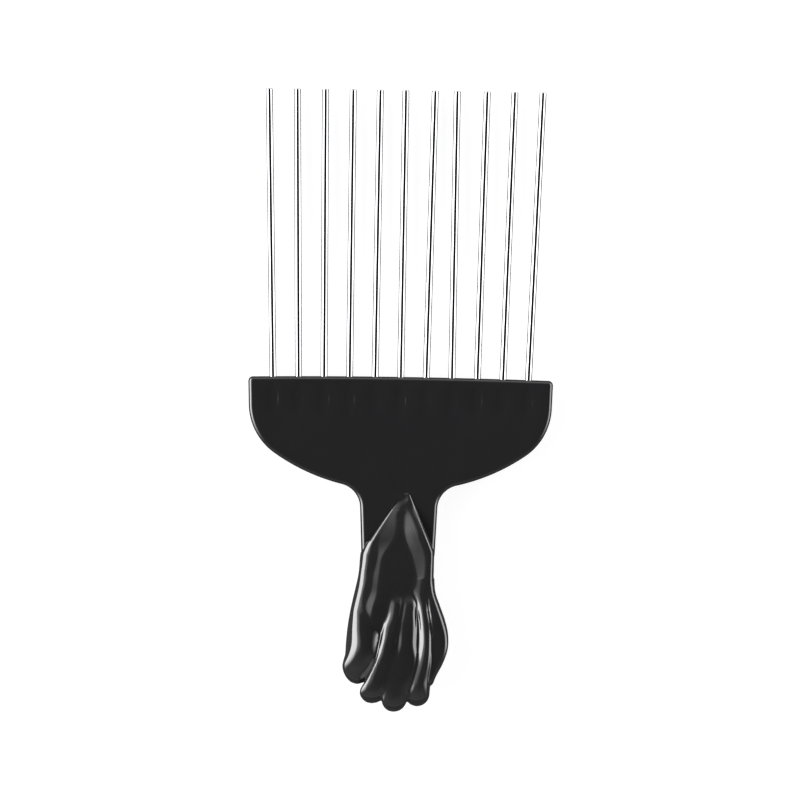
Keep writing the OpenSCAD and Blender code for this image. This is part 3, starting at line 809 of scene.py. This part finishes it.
def studio_world():
    """White to the camera, the boxes and the glow to the object."""
    world = bpy.data.worlds.new("studio")
    bpy.context.scene.world = world
    world.use_nodes = True
    nodes, links = world.node_tree.nodes, world.node_tree.links
    nodes.clear()

    def op(kind, a, b=None, c=None, clamp=False):
        node = nodes.new("ShaderNodeMath")
        node.operation, node.use_clamp = kind, clamp
        for socket, value in zip(node.inputs, (a, b, c)):
            if isinstance(value, (int, float)):
                socket.default_value = value
            elif value is not None:
                links.new(value, socket)
        return node.outputs[0]

    split = nodes.new("ShaderNodeSeparateXYZ")
    links.new(nodes.new("ShaderNodeTexCoord").outputs["Generated"], split.inputs[0])
    x, y, z = split.outputs
    height = op("MULTIPLY", op("ARCSINE", z), 180 / math.pi)
    bearing = op("MULTIPLY", op("ARCTAN2", y, x), 180 / math.pi)
    foot = op("DIVIDE", op("SUBTRACT", height, BOX_FOOT), BOX_FOOT_RUN, clamp=True)
    total = CEILING
    for direction, half, edge, strength, spill_none, spill_full, box_none, box_full in BOXES:
        spill = op("DIVIDE", op("SUBTRACT", spill_none, height), spill_none - spill_full, clamp=True)
        fade = op("DIVIDE", op("SUBTRACT", box_none, height), box_none - box_full, clamp=True)
        fade = op("MULTIPLY", op("MULTIPLY", fade, fade), 1 - SPILL_SHARE)
        fade = op("ADD", op("MULTIPLY", spill, SPILL_SHARE), fade)
        off = op("PINGPONG", op("SUBTRACT", bearing, direction), 180.0)
        side = nodes.new("ShaderNodeMapRange")
        side.interpolation_type = "SMOOTHSTEP"
        side.inputs["From Min"].default_value = half - edge / 2
        side.inputs["From Max"].default_value = half + edge / 2
        side.inputs["To Min"].default_value = strength
        side.inputs["To Max"].default_value = 0.0
        links.new(off, side.inputs["Value"])
        total = op("ADD", total, op("MULTIPLY", op("MULTIPLY", fade, foot), side.outputs["Result"]))
    low = op("DIVIDE", op("SUBTRACT", HORIZON_TOP, height), HORIZON_RUN, clamp=True)
    total = op("ADD", total, op("MULTIPLY", low, HORIZON))
    background = nodes.new("ShaderNodeBackground")
    links.new(total, background.inputs["Strength"])
    plain = nodes.new("ShaderNodeBackground")
    plain.inputs["Strength"].default_value = 1.0
    plain.inputs["Color"].default_value = (1, 1, 1, 1)
    background.inputs["Color"].default_value = (1, 1, 1, 1)
    mix = nodes.new("ShaderNodeMixShader")
    links.new(nodes.new("ShaderNodeLightPath").outputs["Is Camera Ray"], mix.inputs[0])
    links.new(background.outputs[0], mix.inputs[1])
    links.new(plain.outputs[0], mix.inputs[2])
    links.new(mix.outputs[0], nodes.new("ShaderNodeOutputWorld").inputs["Surface"])


# ---- the object

plastic = plastic_material()
chrome = chrome_material()

box_low = np.array(HAND_BOX_LOW)
counts = (np.array(HAND_BOX_HIGH) - box_low) / CELL
grid = [box_low[k] + CELL * np.arange(int(counts[k]) + 1) for k in range(3)]
points, faces = surface_net(hand_field(*grid), box_low, CELL)
hand = new_object("hand", to_frame(points), faces, None)
points, faces = plate_mesh()
handle = new_object("handle_moulding", to_frame(points), faces, None)
boolean(handle, hand, "UNION")
for i in range(TINE_COUNT):
    r = TINE_D / 2 + SOCKET_CLEAR
    top = ROOT_DEPTH + CUTTER_OVER
    points, faces = revolved([(0, 0), (r, 0), (r, top), (0, top)], tine_matrix(i), SOCKET_SEGMENTS)
    boolean(handle, new_object("socket", to_frame(points), faces, None), "DIFFERENCE")
handle.data.materials.clear()
handle.data.materials.append(plastic)
handle.data.shade_smooth()
handle.data.set_sharp_from_angle(angle=math.radians(HANDLE_SHARP))
crease_round_flat(handle.data)
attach(handle, "root")
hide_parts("handle")

for i in range(TINE_COUNT):
    r, length = TINE_D / 2, ROOT_DEPTH + TINE_REACH
    shaft = [(r, length * k / SHAFT_STEPS) for k in range(1, SHAFT_STEPS)]
    tip = [(r - TIP_BREAK * (1 - math.cos(a)), length - TIP_BREAK * (1 - math.sin(a)))
           for a in (math.radians(90 * k / TIP_STEPS) for k in range(TIP_STEPS + 1))]
    profile = [(0, 0), (r - ROOT_BREAK, 0), (r, ROOT_BREAK)] + shaft + tip + [(0, length)]
    points, faces = revolved(profile, tine_matrix(i), TINE_SEGMENTS)
    tine = new_object(f"wire_{i + 1:02d}", to_frame(points), faces, chrome)
    tine.data.shade_smooth()
    tine.data.set_sharp_from_angle(angle=math.radians(TINE_SHARP))
    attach(tine, "root")
    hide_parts(f"tine_{i + 1:02d}")

# ---- floor: the pick lies on the back of its hand, and the floor tilts up towards the tips of its tines.
# Lengths in metres: half of the floor's side, where it is closest to the hand and the gap left there, and the
# run of the tilt, a little longer than the way to the tips, so that they stay clear of the floor
FLOOR_HALF = 4.0
FLOOR_Y = -0.049
FLOOR_GAP = 0.0002
FLOOR_RUN = 0.1595
hand_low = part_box("handle")[0].z
tip_low = (MID_Z - TINE_D / 2) * MM
tilt = math.atan2(tip_low - hand_low, FLOOR_RUN)
corners = [(x * FLOOR_HALF, y * FLOOR_HALF, 0) for x, y in ((-1, -1), (1, -1), (1, 1), (-1, 1))]
floor = new_object("floor", corners, [(0, 1, 2, 3)], floor_material())
floor.matrix_world = Matrix.Translation((0, FLOOR_Y, hand_low - FLOOR_GAP)) @ Matrix.Rotation(tilt, 4, "X")

studio_world()

# ---- camera: straight above, where the photograph was taken from. Metres, and degrees for the roll
DISTANCE = 1.5
FIELD = 0.2247
SENSOR = 36.0
CAMERA_X = -0.00011
CAMERA_Y = 0.00851
ROLL = 0.9
camera = bpy.data.objects.new("camera", bpy.data.cameras.new("camera"))
bpy.context.collection.objects.link(camera)
camera.data.sensor_width = SENSOR
camera.data.lens = SENSOR * DISTANCE / FIELD
camera.data.clip_start, camera.data.clip_end = 0.05, 20.0
camera.location = (CAMERA_X, CAMERA_Y, MID_Z * MM + DISTANCE)
camera.rotation_euler = (0, 0, math.radians(ROLL))
bpy.context.scene.camera = camera
bpy.context.scene.view_settings.view_transform = "Standard"
